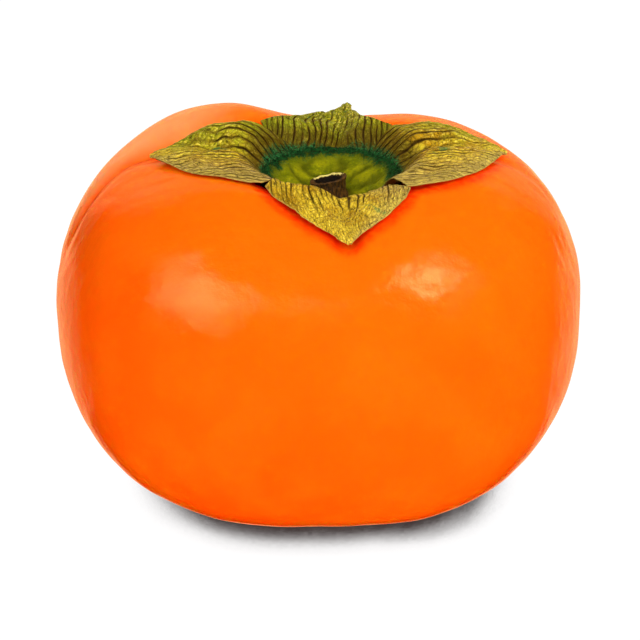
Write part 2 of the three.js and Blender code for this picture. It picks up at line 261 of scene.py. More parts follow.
# --- Mesh helpers -----------------------------------------------------------------------------------
def grid_normals(points, wrap):
    """Unit normals of a grid of points: rows x columns x 3, closed along the columns if wrap."""
    if wrap:
        padded = np.concatenate([points[:, -1:], points, points[:, :1]], axis=1)
        sideways = padded[:, 2:] - padded[:, :-2]
    else:
        sideways = np.gradient(points, axis=1)
    normals = np.cross(np.gradient(points, axis=0), sideways)
    return normals / np.maximum(np.linalg.norm(normals, axis=-1, keepdims=True), 1e-12)


def make_object(name, points, faces, material, replaces, fields):
    """A smooth-shaded object from points in millimetres, riding on the root body."""
    mesh = bpy.data.meshes.new(name)
    mesh.from_pydata((points * MM).tolist(), [], faces)
    mesh.validate()
    mesh.update()
    for field, values in fields.items():
        attribute = mesh.attributes.new(field, "FLOAT", "POINT")
        attribute.data.foreach_set("value", np.asarray(values, dtype=np.float32).ravel())
    mesh.polygons.foreach_set("use_smooth", [True] * len(mesh.polygons))
    mesh.materials.append(material)
    obj = bpy.data.objects.new(name, mesh)
    bpy.context.scene.collection.objects.link(obj)
    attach(obj, "root")
    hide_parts(replaces)


def full_turn(columns):
    """Angles of evenly spaced columns round a turn."""
    return np.arange(columns) * 2.0 * math.pi / columns


def with_poles(values, first=0.0, last=0.0):
    """The values of a field at the first pole, at each ring point and at the last pole."""
    return np.concatenate([[first], np.ravel(values), [last]])


def turned_faces(rows, columns):
    """Faces of a first pole, rows x columns ring points, then a last pole, facing out."""
    j = np.arange(columns)
    following = (j + 1) % columns
    faces = np.stack([np.zeros_like(j), 1 + following, 1 + j], axis=1).tolist()
    for i in range(rows - 1):
        low, high = 1 + i * columns, 1 + (i + 1) * columns
        faces += np.stack([low + j, low + following, high + following, high + j], axis=1).tolist()
    last = 1 + rows * columns
    base = last - columns
    faces += np.stack([np.full_like(j, last), base + j, base + following], axis=1).tolist()
    return faces


# --- Material helpers -------------------------------------------------------------------------------
class Graph:
    """A node material. Most methods add a node and return its output."""

    def __init__(self, name):
        self.material = bpy.data.materials.new(name)
        self.material.use_nodes = True
        self.tree = self.material.node_tree
        self.shader = self.tree.nodes["Principled BSDF"]

    def put(self, socket, value):
        if isinstance(value, bpy.types.NodeSocket):
            self.tree.links.new(value, socket)
        else:
            socket.default_value = value

    def node(self, kind, inputs, **settings):
        node = self.tree.nodes.new(kind)
        for key, value in settings.items():
            setattr(node, key, value)
        for key, value in inputs.items():
            self.put(node.inputs[key], value)
        return node

    def math(self, operation, *values):
        return self.node("ShaderNodeMath", dict(enumerate(values)), operation=operation).outputs[0]

    def times(self, a, b):
        return self.math("MULTIPLY", a, b)

    def plus(self, a, b):
        return self.math("ADD", a, b)

    def minus(self, a, b):
        return self.math("SUBTRACT", a, b)

    def distance(self, place):
        """Distance of a place from the origin."""
        return self.node("ShaderNodeVectorMath", {0: place}, operation="LENGTH").outputs["Value"]

    def field(self, name):
        return self.node("ShaderNodeAttribute", {}, attribute_name=name).outputs["Fac"]

    def place(self):
        """Object coordinates in millimetres."""
        coordinates = self.tree.nodes.new("ShaderNodeTexCoord").outputs["Object"]
        scaled = self.node("ShaderNodeVectorMath", {0: coordinates}, operation="SCALE")
        scaled.inputs["Scale"].default_value = 1.0 / MM
        return scaled.outputs[0]

    def combine(self, x, y, z):
        return self.node("ShaderNodeCombineXYZ", {0: x, 1: y, 2: z}).outputs[0]

    def noise(self, where, scale, detail=3.0, roughness=0.55):
        inputs = {"Vector": where, "Scale": scale, "Detail": detail, "Roughness": roughness}
        return self.node("ShaderNodeTexNoise", inputs).outputs[0]

    def cells(self, where, scale, feature="F1"):
        inputs = {"Vector": where, "Scale": scale}
        return self.node("ShaderNodeTexVoronoi", inputs, feature=feature).outputs["Distance"]

    def span(self, value, low, high, out_low=0.0, out_high=1.0):
        """A smooth step of a value from low to high, given out from out_low to out_high."""
        inputs = {"Value": value, "From Min": low, "From Max": high, "To Min": out_low, "To Max": out_high}
        return self.node("ShaderNodeMapRange", inputs, interpolation_type="SMOOTHSTEP").outputs[0]

    def mix(self, factor, a, b):
        node = self.tree.nodes.new("ShaderNodeMix")
        node.data_type = "RGBA"
        self.put(node.inputs[0], factor)
        for socket, value in ((node.inputs[6], a), (node.inputs[7], b)):
            self.put(socket, value if isinstance(value, bpy.types.NodeSocket) else (*value, 1.0))
        return node.outputs[2]

    def bump(self, height, distance, strength=1.0):
        inputs = {"Height": height, "Distance": distance, "Strength": strength}
        return self.node("ShaderNodeBump", inputs).outputs[0]

    def finish(self, **sockets):
        for name, value in sockets.items():
            self.put(self.shader.inputs[name.replace("_", " ")], value)
        return self.material


def linear(red, green, blue):
    """A colour given as 0-255 screen values, in the linear values that shaders take."""
    return tuple(((v / 255.0 + 0.055) / 1.055) ** 2.4 if v > 10 else v / 255.0 / 12.92
                 for v in (red, green, blue))


# --- Fruit ------------------------------------------------------------------------------------------
SKIN_LOW = (0.94, 0.076, 0.0008)
SKIN_MIDDLE = (0.95, 0.096, 0.001)
SKIN_HIGH = (0.96, 0.124, 0.0014)
SKIN_MOTTLE = (0.96, 0.132, 0.002)
SKIN_FRECKLE = (0.93, 0.08, 0.0008)
SKIN_PAINTED_SHEEN = (0.99, 0.44, 0.17)
SKIN_PORE = (0.98, 0.2, 0.004)
SKIN_CREASE_SHADE = (0.55, 0.04, 0.002)
SKIN_SEPAL_SHADE = (0.98, 0.026, 0.0004)
SCAR_RING = linear(120, 52, 8)
SCAR_MIDDLE = linear(34, 20, 10)


def skin_material():
    g = Graph("persimmon_skin")
    place = g.place()
    split = g.node("ShaderNodeSeparateXYZ", {0: place}).outputs
    cloud = g.noise(place, 0.045, 3.0)
    mottle = g.noise(place, 0.12, 2.0, 0.5)
    freckle = g.noise(place, 0.9, 2.0, 0.5)
    lean = g.plus(split[2], g.times(split[0], 0.22))
    rise = g.plus(lean, g.times(g.minus(cloud, 0.5), 34.0))
    # redder below, yellower above, with soft clouds of both
    colour = g.mix(g.span(rise, 2.0, 26.0), SKIN_LOW, SKIN_MIDDLE)
    colour = g.mix(g.span(rise, 30.0, 52.0), colour, SKIN_HIGH)
    colour = g.mix(g.span(mottle, 0.38, 0.72, 0.0, 0.5), colour, SKIN_MOTTLE)
    colour = g.mix(g.span(freckle, 0.45, 0.75, 0.0, 0.12), colour, SKIN_FRECKLE)
    # painted sheen: a pale glossy shine on the lobe behind the left crease, mixed into the colour
    painted_sheen = g.times(g.field("painted_sheen"), g.span(mottle, 0.2, 0.75, 0.75, 1.1))
    colour = g.mix(painted_sheen, colour, SKIN_PAINTED_SHEEN)
    pores = g.cells(place, 0.62)
    colour = g.mix(g.span(pores, 0.13, 0.05, 0.0, 0.06), colour, SKIN_PORE)
    # painted shade: a thin dark line along the bottom of the left crease
    crease_line = g.span(g.math("ABSOLUTE", g.field("crease_line")), 0.55, 0.1)
    crease_line = g.times(crease_line, g.times(g.field("crease_shade_share"), g.span(freckle, 0.3, 0.6, 0.3, 0.75)))
    colour = g.mix(crease_line, colour, SKIN_CREASE_SHADE)
    # painted shade: deeper red skin along the edges of the front and right sepals
    sepal_shade_blend = g.times(g.field("painted_sepal_shade"), g.span(freckle, 0.3, 0.7, 0.6, 0.95))
    colour = g.mix(sepal_shade_blend, colour, SKIN_SEPAL_SHADE)
    scar = g.distance(place)
    colour = g.mix(g.span(scar, 2.6, 1.2), colour, SCAR_RING)
    colour = g.mix(g.span(scar, 1.1, 0.5), colour, SCAR_MIDDLE)
    rough = g.plus(g.span(mottle, 0.3, 0.75, 0.12, 0.17), g.span(freckle, 0.4, 0.8, 0.0, 0.04))
    waves = g.plus(g.times(g.noise(place, 0.55, 3.0, 0.5), 0.48),
                   g.times(g.noise(place, 0.3, 1.0), 0.5))
    relief = g.plus(waves, g.times(g.noise(place, 2.2, 2.0), 0.06))
    relief = g.plus(relief, g.times(g.span(pores, 0.16, 0.05), -0.04))
    normal = g.bump(relief, 0.00016)
    return g.finish(Base_Color=colour, Roughness=rough, Normal=normal, IOR=1.42,
                    Specular_Tint=(1.0, 0.95, 0.38, 1.0), Subsurface_Weight=1.0,
                    Subsurface_Radius=(1.0, 0.16, 0.04), Subsurface_Scale=0.0045)


def skin_rows(count):
    """Latitudes spaced evenly along the outline from the bottom pole to the top pole."""
    latitude = np.linspace(-math.pi / 2, math.pi / 2, 8001)
    line = skin_points(latitude, np.full_like(latitude, 0.7))
    lengths = np.concatenate([[0.0], np.cumsum(np.linalg.norm(np.diff(line, axis=0), axis=1))])
    return np.interp(np.linspace(0.0, lengths[-1], count + 2)[1:-1], lengths, latitude)


def painted_sepal_shade(points):
    """How closely the sepals named above cover each skin point, for their painted shade: 1 at their edges,
    fading to 0.
    """
    along, across = np.meshgrid(np.linspace(0.3, 1.0, 60), np.linspace(-1.0, 1.0, 61), indexing="ij")
    surfaces = [sepal_surface(SEPALS[side], along, across)[0] for side in SEPAL_SHADE_SIDES]
    leaves = np.concatenate([surface.reshape(-1, 3) for surface in surfaces])
    tree = KDTree(len(leaves))
    for index, leaf in enumerate(leaves):
        tree.insert(leaf, index)
    tree.balance()
    reach = np.full(points.shape[:-1], 2.0 * SEPAL_SHADE_REACH[0])
    for spot in zip(*np.nonzero(points[..., 2] > SEPAL_SHADE_LOWEST)):
        reach[spot] = tree.find(points[spot])[2]
    return smoothstep(reach, *SEPAL_SHADE_REACH)


def skin_fields(latitude, azimuth, points):
    """The left crease (crease_line: distance from it, and where painted shade darkens it), a pale painted
    sheen behind it and painted shade near the sepals.
    """
    turn = math.radians(CREASE_AZIMUTHS[LEFT_CREASE])
    x, y, _ = skin_plan(latitude, azimuth)
    along = (x - CALYX_X) * math.cos(turn) + y * math.sin(turn)
    crease_line = y * math.cos(turn) - (x - CALYX_X) * math.sin(turn)
    behind = smoothstep(-crease_line, -0.2, 3.5) * smoothstep(-crease_line, 26.0, 12.0)
    high = smoothstep(latitude, math.radians(0.0), math.radians(35.0))
    # where the pale painted sheen lies: behind the left crease, high on the shoulder
    painted_sheen = PAINTED_SHEEN_STRENGTH * behind * smoothstep(along, 12.0, 30.0) * high
    # where the painted crease shade shows along the left crease
    depth = smoothstep(along, 20.0, 27.0) * smoothstep(latitude, math.radians(10.0), math.radians(25.0))
    fields = dict(painted_sheen=painted_sheen, crease_line=crease_line, crease_shade_share=depth, painted_sepal_shade=painted_sepal_shade(points))
    return {name: with_poles(values) for name, values in fields.items()}


def build_fruit():
    latitude = skin_rows(SKIN_ROWS)
    azimuth = full_turn(SKIN_COLUMNS)
    places = np.meshgrid(latitude, azimuth, indexing="ij")
    grid = skin_points(*places)
    normals = -grid_normals(grid, True)
    outward = np.sign(np.sum(normals * (grid - [0.0, 0.0, BELT_HEIGHT]), axis=-1, keepdims=True))
    relief = 0.10 * ripple(grid, 17.0, 3) + 0.035 * ripple(grid, 6.0, 5)
    for x, y, z, size, depth in SKIN_MARKS:
        distance = np.linalg.norm(grid - [x, y, z], axis=-1)
        distance = np.sqrt(np.maximum(distance ** 2 - distance.min() ** 2, 0.0))
        relief = relief - depth * bell(distance / size)
    base = np.linalg.norm(grid[..., :2], axis=-1)
    under = grid[..., 2] < UNDERSIDE_HEIGHT
    relief = np.where(under, relief * smoothstep(base, *FOOT_EDGE), relief)
    grid = grid + normals * outward * relief[..., None]
    (pit_depth, pit_width), (point_height, point_width) = SCAR_PIT, SCAR_POINT
    pit = pit_depth * bell(base / pit_width) - point_height * bell(base / point_width)
    grid[..., 2] = np.maximum(grid[..., 2], 0.0) + np.where(under, pit, 0.0)
    bottom = np.array([[0.0, 0.0, pit_depth - point_height]])
    top = skin_points(np.array([math.pi / 2]), np.array([0.0]))
    points = np.concatenate([bottom, grid.reshape(-1, 3), top])
    faces = turned_faces(SKIN_ROWS, SKIN_COLUMNS)
    make_object("fruit_skin", points, faces, skin_material(), "fruit", skin_fields(*places, grid))


# --- Calyx ------------------------------------------------------------------------------------------
def arch_lift(values, across):
    """Values at five even steps from across -1 to 1, eased between."""
    place = np.clip((across + 1.0) * 2.0, 0.0, 3.999)
    index = np.floor(place).astype(int)
    blend = 0.5 - 0.5 * np.cos(math.pi * (place - index))
    lifts = np.array(values)
    return lifts[index] + (lifts[index + 1] - lifts[index]) * blend


def sepal_edge(sepal, edge, inward, radius, ragged):
    """Azimuth in degrees of one edge of a sepal at each radius; inward is the turn towards its middle."""
    corner_azimuth, corner_radius, bulge, taper, ring_azimuth = edge
    tip_azimuth, tip_radius = sepal["tip"]
    joint = np.clip((radius - SEPAL_ROOT_RADIUS) / (JOINT_RADIUS - SEPAL_ROOT_RADIUS), 0.0, 1.0)
    corner_azimuth = ring_azimuth + (corner_azimuth - ring_azimuth) * joint
    gap = JOINT_OPENING * smoothstep(radius, *JOINT_OPENS) - JOINT_OVERLAP
    corner = corner_azimuth + np.degrees(inward * gap / (2.0 * radius))
    tip = tip_azimuth - np.degrees(inward * SEPAL_TIP_WIDTH / (2.0 * radius))
    out = np.clip((radius - corner_radius) / (tip_radius - corner_radius), 0.0, 1.0)
    edge_line = tip + (corner - tip) * (1.0 - out ** bulge) ** taper
    return edge_line + np.degrees(inward * ragged / radius)


def ragged_edge(radius, along, seed):
    """How far a sepal's edge strays from its plain outline: not at the root, and less at the tip."""
    fade = smoothstep(radius, 13.0, 16.0) * (1.0 - 0.6 * smoothstep(along, 0.9, 1.0))
    line = np.stack([radius, np.zeros_like(radius)], axis=-1)
    (wide, wide_size), (fine, fine_size) = RAGGED
    return fade * (wide * ripple(line, wide_size, seed) + fine * ripple(line, fine_size, seed + 1))


def sepal_surface(sepal, along, across):
    """Middle surface, radius and signed arc from the tip's line: along is 0 to 1, across is -1 to 1."""
    tip_azimuth, tip_radius = sepal["tip"]
    root_radius = SEPAL_ROOT_RADIUS - SEPAL_ROOT_TUCK
    radius = root_radius + (tip_radius - root_radius) * along
    start = sepal_edge(sepal, sepal["start"], 1.0, radius, ragged_edge(radius, along, sepal["seed"]))
    end = sepal_edge(sepal, sepal["end"], -1.0, radius, ragged_edge(radius, along, sepal["seed"] + 2))
    half = np.where(across < 0.0, tip_azimuth - start, end - tip_azimuth)
    azimuth = np.radians(tip_azimuth + half * across)
    x, y = CALYX_X + radius * np.cos(azimuth), radius * np.sin(azimuth)
    arch = arch_lift(sepal["arch"], across)
    crease_part = 0.85 - 0.6 * smoothstep(along, 0.45, 0.95)
    lift = SEPAL_CLEARANCE + arch * bell((radius - ARCH_RADIUS) / ARCH_WIDTH)
    curl = sepal["curl"][0] * smoothstep(along, sepal["curl"][1], 1.0)
    for ear, edge, turn in zip(sepal["ears"], (sepal["start"], sepal["end"]), (-1.0, 1.0)):
        curl = curl + ear * bell((radius - edge[1]) / EAR_SPAN) * smoothstep(turn * across, 0.35, 1.0)
    wave = EDGE_WAVE * np.abs(across) ** 3 * np.sin(9.0 * along + 2.0 * across + sepal["phase"])
    wave = wave * smoothstep(along, 0.1, 0.4) * (1.0 - smoothstep(along, 0.85, 1.0))
    # the thin leaf lies closer to the skin than the solid does
    settle = LEAF_SETTLE * smoothstep(np.abs(across), 0.3, 1.0) * smoothstep(radius, 13.0, 17.0)
    z = top_height(x, y, crease_part) + lift + curl + wave - settle
    arc = radius * np.radians(half * across)
    return np.stack([x, y, z], axis=-1), radius, arc


STRAW_DARK = linear(168, 124, 10)
STRAW_PALE = linear(206, 170, 36)
OLIVE_DARK = linear(116, 118, 6)
OLIVE_PALE = linear(158, 152, 22)
GOLDEN = linear(232, 198, 58)
LEAF_GREEN = linear(78, 116, 14)
LEAF_GREY = linear(178, 154, 86)
CUP_WALL_SHADE = linear(70, 50, 2)
LEAF_GLEAM = linear(240, 212, 78)
CELL_PALE = linear(230, 194, 44)
SPECK_DARK = linear(56, 42, 1)
CELL_WALL = linear(70, 52, 4)
GLINT_PALE = linear(252, 234, 140)
GLINT_DARK = linear(40, 28, 0)
THREAD_BROWN = linear(84, 60, 6)
VEIN_BROWN = linear(34, 16, 2)
ROOT_TEAL_DARK = linear(1, 26, 12)
ROOT_TEAL_PALE = linear(18, 104, 54)
FLECK_TEAL = linear(14, 94, 50)
EDGE_PALE = linear(206, 176, 84)
UNDERSIDE_TAN = linear(140, 108, 46)


def sepal_material():
    g = Graph("dry_sepal")
    place = g.place()
    lane, across, radius, green = (g.field(name) for name in ("lane", "across", "radius", "green"))
    # the grain runs along the veins
    grain = g.combine(g.times(lane, 0.75), g.times(radius, 0.42), green)
    speck = g.noise(grain, 3.0, 3.0, 0.75)
    glint = g.noise(place, 4.6, 2.0, 0.7)
    patch = g.noise(place, 0.22, 3.0, 0.6)
    cloud = g.noise(place, 0.7, 2.0, 0.6)
    spots = g.minus(speck, 0.5)
    # lengthwise veins: distance to the nearest lane centre, stronger and weaker by lane and by place
    nearest = g.math("ABSOLUTE", g.minus(g.math("FRACT", g.plus(lane, 0.5)), 0.5))
    number = g.times(g.math("FLOOR", g.plus(lane, 0.5)), 7.31)
    strength = g.noise(g.combine(number, g.times(radius, 0.16), green), 1.0, 2.0)
    strength = g.plus(strength, g.span(radius, 21.0, 12.0, -0.05, 0.16))
    width = g.span(strength, 0.4, 0.8, 0.07, 0.19)
    vein = g.minus(1.0, g.span(nearest, 0.02, width))
    vein = g.times(vein, g.span(g.plus(strength, g.times(spots, 0.5)), 0.48, 0.66))
    thread = g.minus(1.0, g.span(nearest, 0.05, 0.32))
    broken = g.plus(strength, g.plus(g.times(spots, 0.6), g.field("lined")))
    thread = g.times(thread, g.span(broken, 0.4, 0.75))
    flat = g.combine(g.times(lane, 0.9), g.times(radius, 0.6), green)
    wall_gap = g.cells(flat, 2.0, "DISTANCE_TO_EDGE")
    # straw outside, olive towards the green edges, brown painted shade on the cup's inner side near the
    # ring
    straw = g.mix(g.span(patch, 0.38, 0.62), STRAW_DARK, STRAW_PALE)
    olive = g.mix(g.span(patch, 0.4, 0.6), OLIVE_DARK, OLIVE_PALE)
    lean = g.plus(green, g.times(g.minus(patch, 0.5), 1.3))
    lean = g.plus(lean, g.times(g.minus(cloud, 0.5), 0.8))
    golden = g.times(g.span(radius, 19.0, 26.0), g.span(cloud, 0.25, 0.7, 0.3, 0.8))
    colour = g.mix(golden, straw, GOLDEN)
    colour = g.mix(g.span(lean, 0.2, 1.0), colour, olive)
    colour = g.mix(g.span(lean, 0.95, 1.7, 0.0, 0.7), colour, LEAF_GREEN)
    colour = g.mix(g.times(g.field("grey"), 0.75), colour, LEAF_GREY)
    # painted shade: darker brown on the cup's inner side, near the ring
    cup_shade = g.plus(g.span(radius, 15.6, 11.2), g.times(spots, 0.9))
    colour = g.mix(g.span(cup_shade, 0.2, 0.95, 0.0, 0.82), colour, CUP_WALL_SHADE)
    outer = g.span(radius, 12.0, 18.0, 0.2, 1.0)
    bright = g.times(g.span(speck, 0.53, 0.66), outer)
    colour = g.mix(g.times(bright, 0.75), colour, LEAF_GLEAM)
    inside = g.times(g.span(wall_gap, 0.2, 0.42, 0.0, 0.3), outer)
    colour = g.mix(inside, colour, CELL_PALE)
    colour = g.mix(g.span(speck, 0.47, 0.34, 0.0, 0.85), colour, SPECK_DARK)
    colour = g.mix(g.span(wall_gap, 0.11, 0.0, 0.0, 0.62), colour, CELL_WALL)
    shine = g.times(g.span(glint, 0.6, 0.78, 0.0, 0.5), outer)
    colour = g.mix(shine, colour, GLINT_PALE)
    colour = g.mix(g.span(glint, 0.42, 0.26, 0.0, 0.55), colour, GLINT_DARK)
    colour = g.mix(g.times(thread, 0.72), colour, THREAD_BROWN)
    colour = g.mix(g.times(vein, 0.93), colour, VEIN_BROWN)
    root = g.plus(g.span(radius, 12.6, 10.2), g.times(spots, 1.5))
    teal = g.mix(g.span(glint, 0.4, 0.66), ROOT_TEAL_DARK, ROOT_TEAL_PALE)
    colour = g.mix(g.span(root, 0.42, 0.95, 0.0, 0.92), colour, teal)
    dot = g.plus(g.field("fleck"), g.times(spots, 3.0))
    colour = g.mix(g.span(dot, 0.75, 1.2, 0.0, 0.7), colour, FLECK_TEAL)
    edge = g.times(g.span(g.math("ABSOLUTE", across), 0.955, 1.0), g.span(radius, 13.5, 15.5))
    colour = g.mix(g.times(edge, 0.5), colour, EDGE_PALE)
    colour = g.mix(g.times(g.field("under"), 0.75), colour, UNDERSIDE_TAN)
    relief = g.minus(g.span(wall_gap, 0.0, 0.3, 0.0, 0.5), g.times(vein, 0.8))
    relief = g.plus(relief, g.times(speck, 1.5))
    normal = g.bump(relief, 0.00028)
    rough = g.span(speck, 0.3, 0.75, 0.55, 0.75)
    return g.finish(Base_Color=colour, Roughness=rough, Normal=normal, Specular_IOR_Level=0.2,
                    Specular_Tint=(1.0, 0.86, 0.3, 1.0))


def leaf_faces(rows, columns):
    """Faces of an upper sheet of rows x columns points, the lower sheet after it and the rim between."""
    count = rows * columns
    index = np.arange(count).reshape(rows, columns)
    corners = (index[:-1, :-1], index[1:, :-1], index[1:, 1:], index[:-1, 1:])
    top = np.stack(corners, axis=-1).reshape(-1, 4)
    border = np.concatenate([index[0, :-1], index[:-1, -1], index[-1, :0:-1], index[:0:-1, 0]])
    following = np.roll(border, -1)
    rim = np.stack([border, following, following + count, border + count], axis=1)
    return top.tolist() + (top[:, ::-1] + count).tolist() + rim.tolist()


def leaf_fields(sepal, middle, across, radius, lane):
    """What the sepal's material needs to know at each point of the upper and the lower sheet."""
    first, last = sepal["green"]
    flanks = [grey * smoothstep(turn * across, 0.25, 0.85)
              for turn, grey in zip((-1.0, 1.0), sepal["grey"])]
    fleck = sum(bell(np.linalg.norm(middle - [x, y, z], axis=-1) / size) for x, y, z, size in GREEN_FLECKS)
    lined = sepal["lined"] - 0.3 * smoothstep(radius, 17.0, 23.0) * (sepal["lined"] < 0.1)
    fields = dict(lane=lane, lined=lined, across=across, radius=radius, fleck=fleck, grey=sum(flanks),
                  green=first + (last - first) * (1.0 + across) / 2.0)
    fields = {name: np.tile(values.ravel(), 2) for name, values in fields.items()}
    fields["under"] = np.repeat([0.0, 1.0], middle.shape[0] * middle.shape[1])
    return fields


def build_sepal(side, sepal, material):
    rows, columns = SEPAL_ROWS, SEPAL_COLUMNS
    along, across = np.meshgrid(np.linspace(0.0, 1.0, rows), np.linspace(-1.0, 1.0, columns), indexing="ij")
    middle, radius, arc = sepal_surface(sepal, along, across)
    seed = sepal["seed"]
    flat = np.stack([arc, radius], axis=-1)
    # lanes run from root to tip and wander; a vein lies in the middle of each
    pitch = sepal["pitch"] * (1.0 - 0.3 * smoothstep(radius, 12.0, sepal["tip"][1] + 3.0))
    lane = arc / pitch + 0.36 * ripple(flat, 7.0, seed + 5) + 0.08 * ripple(flat, 2.6, seed + 6)
    nearest = np.abs(lane - np.round(lane))
    depths = np.random.RandomState(seed + 9).uniform(0.0, VEIN_DEPTH, VEIN_KINDS)
    grooves = depths[np.round(lane).astype(int) % VEIN_KINDS] * bell(nearest / 0.2)
    relief = 0.05 * ripple(flat, 1.7, seed + 7) + 0.10 * ripple(flat, 4.5, seed + 8) - grooves
    normals = grid_normals(middle, False)
    normals *= np.sign(normals[..., 2:3])
    body = EDGE_SHARE + (1.0 - EDGE_SHARE) * smoothstep(1.0 - np.abs(across), 0.0, 0.12)
    middle = middle + normals * (relief * body)[..., None]
    half = 0.5 * LEAF_THICKNESS * body[..., None]
    sheets = [middle + normals * half, middle - normals * half]
    points = np.concatenate([sheet.reshape(-1, 3) for sheet in sheets])
    fields = leaf_fields(sepal, middle, across, radius, lane)
    make_object("sepal_%s_leaf" % side, points, leaf_faces(rows, columns), material,
                "sepal_%s" % side, fields)


def disc_top(radius):
    """Height of the dished disc: flat under the stem, then rising to the rim."""
    low, high = DISC_FLOOR_RADIUS - 1.5, DISC_RADIUS + 2.2
    rise = smoothstep(radius, low, high) / smoothstep(DISC_RADIUS, low, high)
    return DISC_FLOOR_HEIGHT + (DISC_RIM_HEIGHT - DISC_FLOOR_HEIGHT) * rise


FLESH_DARK = linear(92, 98, 0)
FLESH_PALE = linear(134, 130, 2)
FLESH_GLEAM = linear(186, 178, 18)
FLESH_SPECK = linear(44, 54, 0)
FOLD_SHADE = linear(44, 48, 0)
RING_DARK = linear(0, 20, 6)
RING_TEAL = linear(10, 66, 26)
RING_PALE = linear(70, 146, 84)
STEM_FOOT_DARK = linear(50, 40, 2)


def disc_material():
    g = Graph("calyx_disc_tissue")
    place = g.place()
    radius = g.field("radius")
    speck = g.noise(place, 2.4, 4.0, 0.75)
    glint = g.noise(place, 5.0, 2.0, 0.7)
    patch = g.noise(place, 0.35, 3.0, 0.6)
    spots = g.minus(speck, 0.5)
    flesh = g.mix(g.span(patch, 0.36, 0.64), FLESH_DARK, FLESH_PALE)
    flesh = g.mix(g.span(speck, 0.53, 0.72, 0.0, 0.6), flesh, FLESH_GLEAM)
    flesh = g.mix(g.span(speck, 0.47, 0.3, 0.0, 0.6), flesh, FLESH_SPECK)
    # painted shade: darker in the valleys of the folds
    flesh = g.mix(g.times(g.field("fold_shade"), 0.7), flesh, FOLD_SHADE)
    teal = g.mix(g.span(speck, 0.4, 0.66), RING_DARK, RING_TEAL)
    teal = g.mix(g.span(glint, 0.6, 0.76, 0.0, 0.55), teal, RING_PALE)
    border = g.plus(radius, g.times(g.minus(patch, 0.5), 4.2))
    border = g.plus(border, g.times(spots, 3.4))
    colour = g.mix(g.span(border, 7.8, 9.2), flesh, teal)
    # darker round the foot of the stem
    colour = g.mix(g.span(radius, 3.9, 2.8, 0.0, 0.6), colour, STEM_FOOT_DARK)
    relief = g.plus(g.times(speck, 1.3), g.times(patch, 0.6))
    normal = g.bump(relief, 0.0004, 0.8)
    rough = g.span(speck, 0.3, 0.75, 0.42, 0.7)
    return g.finish(Base_Color=colour, Roughness=rough, Normal=normal, Specular_IOR_Level=0.22,
                    Specular_Tint=(1.0, 0.95, 0.25, 1.0))


def build_disc():
    radii = np.linspace(0.12, DISC_RADIUS + DISC_OVERLAP, DISC_ROWS)
    radius, azimuth = np.meshgrid(radii, full_turn(DISC_COLUMNS), indexing="ij")
    flat = np.stack([radius * np.cos(azimuth), radius * np.sin(azimuth)], axis=-1)
    plain = disc_top(np.minimum(radius, DISC_RADIUS))
    # soft folds run out from the stem to the ring
    folds = 0.5 + 0.5 * np.sin(FOLD_COUNT * azimuth + 2.2 * ripple(flat, 6.0, 71) + 0.3 * radius)
    folded = smoothstep(radius, 3.2, 5.0) * (1.0 - smoothstep(radius, 7.4, 9.0))
    z = plain + FOLD_DEPTH * (folds - 0.5) * folded
    z = z + 0.16 * ripple(flat, 3.0, 72) * smoothstep(radius, 3.0, 5.0)
    grains = 0.10 * ripple(flat, 0.9, 73) + 0.08 * ripple(flat, 0.5, 74)
    z = z + smoothstep(radius, 8.0, 9.0) * (0.22 * bell((radius - 9.4) / 0.9) + grains)
    top = np.stack([CALYX_X + flat[..., 0], flat[..., 1], z], axis=-1)
    bottom = np.stack([top[..., 0], top[..., 1], plain - DISC_THICKNESS], axis=-1)
    # rings run from the middle of the underside out and back over the top to its middle
    rings = np.concatenate([bottom, top[::-1]])
    poles = [[[CALYX_X, 0.0, sheet[0, 0, 2]]] for sheet in (bottom, top)]
    points = np.concatenate([poles[0], rings.reshape(-1, 3), poles[1]])
    # how deep in a fold's valley each point lies, for its painted shade
    crease = (1.0 - folds) ** 2 * folded
    fields = {name: with_poles(np.concatenate([values, values[::-1]]))
              for name, values in (("radius", radius), ("fold_shade", crease))}
    make_object("calyx_disc_tissue", points, turned_faces(len(rings), DISC_COLUMNS), disc_material(),
                "calyx_disc", fields)


BARK_DARK = linear(34, 18, 3)
BARK_PALE = linear(104, 66, 16)
BARK_GLEAM = linear(172, 134, 58)
HOLLOW_SHADE = linear(8, 4, 1)
PITH_PALE = linear(226, 204, 110)


def stub_material():
    g = Graph("stem_bark")
    place = g.place()
    stretched = g.node("ShaderNodeVectorMath", {0: place}, operation="MULTIPLY")
    stretched.inputs[1].default_value = (1.0, 1.0, 0.35)
    fibre = g.noise(stretched.outputs[0], 2.6, 4.0, 0.65)
    speck = g.noise(place, 4.0, 4.0, 0.7)
    depth = g.field("depth")
    colour = g.mix(g.span(fibre, 0.35, 0.68), BARK_DARK, BARK_PALE)
    colour = g.mix(g.span(speck, 0.56, 0.76, 0.0, 0.75), colour, BARK_GLEAM)
    # painted shade: darker down into the hollow of the broken stem, black on its floor
    colour = g.mix(g.times(depth, 0.95), colour, HOLLOW_SHADE)
    torn = g.plus(g.field("pith"), g.times(g.minus(speck, 0.5), 1.6))
    colour = g.mix(g.span(torn, 0.45, 0.7), colour, PITH_PALE)
    normal = g.bump(g.plus(fibre, g.times(speck, 0.5)), 0.0005, 0.9)
    return g.finish(Base_Color=colour, Roughness=g.span(fibre, 0.3, 0.7, 0.7, 0.9), Normal=normal,
                    Specular_IOR_Level=0.25)


